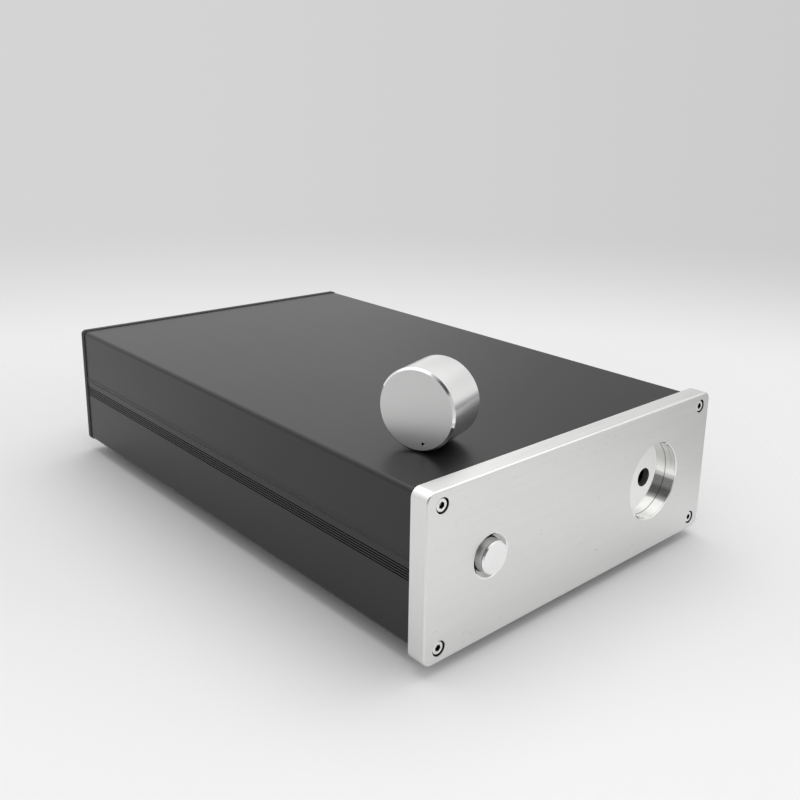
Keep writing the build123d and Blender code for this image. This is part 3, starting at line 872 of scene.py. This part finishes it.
class CHASSIS_OT_front_screws(bpy.types.Operator):
    """Make the four socket cap screws of the front panel"""

    bl_idname = "chassis.front_screws"
    bl_label = "Front Screws"

    def execute(self, context):
        colours, _, sizes, _ = settings(context)
        low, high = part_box("front_panel_screws")
        mesh = bmesh.new()
        seat = low.y + sizes.head_height
        turns = (0.3, 1.0, 0.62, 0.1)
        for (x, z), turn in zip(head_middles("front_panel_screws", sizes.head_radius, (0, 2)), turns):
            add_cap_screw(mesh, sizes, high.y - seat, placed((x, seat, z), -REARWARD, turn))
        # The front screws get the painted shade colour in their sockets and on their flanks
        finish = material("screw_steel", socket_head, colours.head, ROUGHNESS["front screws"], colours.bore)
        make_piece("front_cap_screws", mesh, finish, "stainless_steel", "front_panel_screws")
        return {"FINISHED"}


class CHASSIS_OT_rear_screws(bpy.types.Operator):
    """Make the four domed screws of the rear panel"""

    bl_idname = "chassis.rear_screws"
    bl_label = "Rear Screws"

    def execute(self, context):
        colours, _, sizes, _ = settings(context)
        low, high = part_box("rear_panel_screws")
        mesh = bmesh.new()
        seat = high.y - sizes.dome_height
        turns = (0.2, 0.9, 0.5, 1.2)
        for (x, z), turn in zip(head_middles("rear_panel_screws", sizes.dome_radius, (0, 2)), turns):
            add_dome_screw(mesh, sizes, seat - low.y, placed((x, seat, z), REARWARD, turn))
        finish = material("black_steel", plain_metal, colours.black_steel, ROUGHNESS["rear screws"])
        make_piece("rear_dome_screws", mesh, finish, "black_steel", "rear_panel_screws")
        return {"FINISHED"}


class CHASSIS_OT_feet(bpy.types.Operator):
    """Finish the rubber feet and make their screws and nuts"""

    bl_idname = "chassis.feet"
    bl_label = "Feet"

    def execute(self, context):
        colours, grain, sizes, _ = settings(context)
        rubber = material("foot_rubber", moulded, colours.rubber, ROUGHNESS["foot rubber"], grain.foot_grain)
        for node in ("foot_front_left", "foot_front_right", "foot_rear_left", "foot_rear_right"):
            dress(node, rubber)
        zinc = material("foot_fixing_zinc", plain_metal, colours.zinc, ROUGHNESS["foot fixings"])
        low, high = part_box("foot_screws")
        mesh = bmesh.new()
        seat = low.z + sizes.pan_height
        for x, y in head_middles("foot_screws", sizes.pan_radius, (0, 1)):
            add_pan_screw(mesh, sizes, high.z - seat, placed((x, y, seat), -UPWARD, x + y))
        make_piece("foot_pan_screws", mesh, zinc, "zinc_steel", "foot_screws")
        nut_low, nut_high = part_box("foot_nuts")
        mesh = bmesh.new()
        for x, y in head_middles("foot_screws", sizes.pan_radius, (0, 1)):
            add_nut(mesh, sizes, nut_high.z - nut_low.z, placed((x, y, nut_low.z), UPWARD, 0.0))
        make_piece("foot_hex_nuts", mesh, zinc, "zinc_steel", "foot_nuts")
        return {"FINISHED"}


class CHASSIS_OT_push_button(bpy.types.Operator):
    """Finish the turned push button"""

    bl_idname = "chassis.push_button"
    bl_label = "Push Button"

    def execute(self, context):
        colours, grain, _, _ = settings(context)
        dress("button_cap", material("turned_button", turned_button, colours, grain))
        return {"FINISHED"}


class CHASSIS_OT_power_switch(bpy.types.Operator):
    """Finish the switch behind the button and make its spring and screws"""

    bl_idname = "chassis.power_switch"
    bl_label = "Power Switch"

    def execute(self, context):
        colours, grain, sizes, _ = settings(context)
        zinc = material("bracket_zinc", plain_metal, colours.zinc, ROUGHNESS["bracket"])
        dress("switch_bracket", zinc)
        dress("switch_frame", zinc)
        for node, name, colour, part in (
            ("switch_body", "switch_plastic", colours.plastic, "switch housing"),
            ("switch_plunger", "plunger_plastic", colours.plunger, "plunger"),
        ):
            dress(node, material(name, moulded, colour, ROUGHNESS[part], grain.switch_grain))
        dress("switch_terminals", material("tinned_tabs", plain_metal, colours.tabs, ROUGHNESS["tabs"]))

        gap = REARWARD * 0.03 * MM
        low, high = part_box("plunger_spring")
        mesh = bmesh.new()
        add_coil(mesh, sizes, low + gap, high - gap)
        wire = material("spring_wire", plain_metal, colours.steel, ROUGHNESS["spring"])
        spring = make_piece("return_spring", mesh, wire, "stainless_steel", "plunger_spring")
        keep = 1 - BUTTON_TRAVEL / (high.y - low.y)
        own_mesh(spring)

        slot_turn = 0.4
        for name, node, out in (
            ("bracket_pan_screws", "bracket_screws", REARWARD),
            ("switch_pan_screws", "switch_screws", -REARWARD),
        ):
            low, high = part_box(node)
            mesh = bmesh.new()
            seat = high.y - sizes.pan_height if out.y > 0 else low.y + sizes.pan_height
            length = seat - low.y if out.y > 0 else high.y - seat
            for x, z in head_middles(node, sizes.pan_radius, (0, 2)):
                add_pan_screw(mesh, sizes, length, placed((x, seat, z), out, slot_turn))
            make_piece(name, mesh, zinc, "zinc_steel", node)
        return {"FINISHED"}


class CHASSIS_OT_knob(bpy.types.Operator):
    """Finish the turned knob and its set screw"""

    bl_idname = "chassis.knob"
    bl_label = "Knob"

    def execute(self, context):
        colours, grain, _, _ = settings(context)
        dress("knob", material("turned_knob", turned_knob, colours, grain))
        steel = material("grub_steel", plain_metal, colours.black_steel, ROUGHNESS["set screw"])
        dress("knob_grub_screw", steel)
        return {"FINISHED"}


def floor_finish(nodes, studio):
    """Pale matt floor with painted shade, darker towards the rear right, that fades into the background."""
    position = nodes.coordinates()
    distance = nodes.length(position)
    side, depth, _ = position.parts()
    grain = nodes.noise(position, scale=900.0, detail=3.0)
    cloud = nodes.noise(position, scale=3.0)
    # Painted shade: the floor's colour is darkened towards the rear right
    away = (side + depth).fade(-0.32, -0.08)
    right_end = (side * 0.70 - depth * 0.70).fade(0.172, 0.285)
    tone = 1 + grain * 0.02 + cloud * 0.02 - away * 0.11
    nodes.finish(
        Base_Color=nodes.tinted(opaque(studio.floor_colour), tone),
        Roughness=0.7,
        Specular_IOR_Level=0.3,
        Alpha=(1 - distance.fade(studio.floor_fade, studio.floor_reach)) * (1 - right_end),
    )


def studio_world(nodes, studio):
    """Pale background for what sees it, and plain light from all round for the rest."""
    direction = nodes.coordinates("Generated")
    side, depth, height = direction.parts()
    light = nodes.add("LightPath", {}, {})
    rays = {output.name: Value(nodes, output) for output in light.socket.node.outputs}
    seen = rays["Is Camera Ray"]
    mirrored = rays["Is Glossy Ray"].larger(rays["Is Transmission Ray"])

    def patch(x, y, z, outer, inner):
        """1 inside a round patch of the room about a direction, its two angles in degrees."""
        axis = Vector((x, y, z)).normalized()
        return nodes.dot(direction, axis).fade(cos(radians(outer)), cos(radians(inner)))

    # What the camera sees: a pale wall, a little darker above and to the right
    above_floor = height.fade(-0.27, -0.14)
    rightward = (side - depth).fade(-0.60, 0.70)
    wall = 0.86 - above_floor * 0.20 - above_floor * rightward * 0.06

    # What metal mirrors: a pale room, brighter above, in front and behind, with a dark flag,
    # a dim left side, a dim far corner and a dark table's end on the right
    flag = patch(-0.67, -0.50, 0.545, 35, 28) * (1 - height.fade(0.72, 0.92) * 0.6)
    flag = flag * (0.66 + height.fade(0.38, 0.58) * 0.21)
    dim = patch(-0.75, -0.62, 0.20, 80, 25)
    far_corner = patch(0.92, 0.36, 0.22, 30, 14)
    table_end = (side + depth * 0.35).fade(0.45, 0.85) * (1 - height.fade(-0.12, 0.02))
    overhead = height.fade(0.40, 0.90)
    front = (0 - depth).fade(0.30, 0.60) * (1 - height.fade(-0.35, 0.00))
    behind = height.fade(0.28, 0.55) * depth.fade(-0.30, 0.20)
    room = 0.80 + overhead * 0.32 + front * 0.12 + behind * 0.30 - dim * 0.24 - table_end * 0.66
    room = room * (1 - flag) * (1 - far_corner * 0.52)

    level = seen * wall + mirrored * (1 - seen) * room
    level = level + (1 - seen) * (1 - mirrored) * studio.fill_strength
    background = nodes.add("Background", {}, {"Color": nodes.grey(level), "Strength": 1.0})
    nodes.add("OutputWorld", {}, {"Surface": background})


class CHASSIS_OT_studio(bpy.types.Operator):
    """Make the floor, the background, the lamp and the camera"""

    bl_idname = "chassis.studio"
    bl_label = "Studio"

    def execute(self, context):
        _, _, _, studio = settings(context)
        scene = context.scene
        mesh = bmesh.new()
        past_fade = 1.05
        reach = studio.floor_reach * past_fade
        bmesh.ops.create_circle(mesh, cap_ends=True, segments=FLOOR_SIDES, radius=reach)
        data = bpy.data.meshes.new("studio_floor")
        mesh.to_mesh(data)
        mesh.free()
        data.materials.append(material("floor_paper", floor_finish, studio))
        ground = bpy.data.objects.new("studio_floor", data)
        scene.collection.objects.link(ground)

        scene.world = bpy.data.worlds.new("studio_world")
        studio_world(Nodes(scene.world), studio)

        lamp = bpy.data.lights.new("key_lamp", "AREA")
        lamp.energy = studio.key_power
        lamp.size = studio.key_size
        key = bpy.data.objects.new("key_lamp", lamp)
        key.location = LAMP_PLACE
        key.rotation_euler = Vector(key.location).to_track_quat("Z", "Y").to_euler()
        scene.collection.objects.link(key)

        camera = bpy.data.cameras.new("camera")
        camera.lens = studio.lens
        camera.shift_x, camera.shift_y = CAMERA_SHIFT
        view = bpy.data.objects.new("camera", camera)
        view.location = CAMERA_PLACE
        view.rotation_euler = [radians(angle) for angle in CAMERA_ANGLES]
        scene.collection.objects.link(view)
        scene.camera = view
        scene.view_settings.view_transform = "Standard"
        return {"FINISHED"}


OPERATORS = (
    CHASSIS_OT_studio,
    CHASSIS_OT_front_panel,
    CHASSIS_OT_case,
    CHASSIS_OT_front_screws,
    CHASSIS_OT_rear_screws,
    CHASSIS_OT_feet,
    CHASSIS_OT_push_button,
    CHASSIS_OT_power_switch,
    CHASSIS_OT_knob,
)


class CHASSIS_PT_sidebar(bpy.types.Panel):
    """Lists the chassis's pieces"""

    bl_idname = "CHASSIS_PT_sidebar"
    bl_label = "Amplifier Chassis"
    bl_space_type = "VIEW_3D"
    bl_region_type = "UI"
    bl_category = "Chassis"

    def draw(self, context):
        for operator in OPERATORS:
            self.layout.operator(operator.bl_idname)
        for group in settings(context):
            for name in group.__annotations__:
                self.layout.prop(group, name)


GROUPS = {
    "chassis_colours": ChassisColours,
    "chassis_grain": ChassisGrain,
    "chassis_fasteners": ChassisFasteners,
    "chassis_studio": ChassisStudio,
}
CLASSES = (*GROUPS.values(), *OPERATORS, CHASSIS_PT_sidebar)


def register():
    for cls in CLASSES:
        bpy.utils.register_class(cls)
    for name, group in GROUPS.items():
        setattr(bpy.types.Scene, name, PointerProperty(type=group))


def unregister():
    for name in GROUPS:
        delattr(bpy.types.Scene, name)
    for cls in reversed(CLASSES):
        bpy.utils.unregister_class(cls)


def main():
    register()
    for operator in OPERATORS:
        group, name = operator.bl_idname.split(".")
        getattr(getattr(bpy.ops, group), name)()


if __name__ == "__main__":
    main()
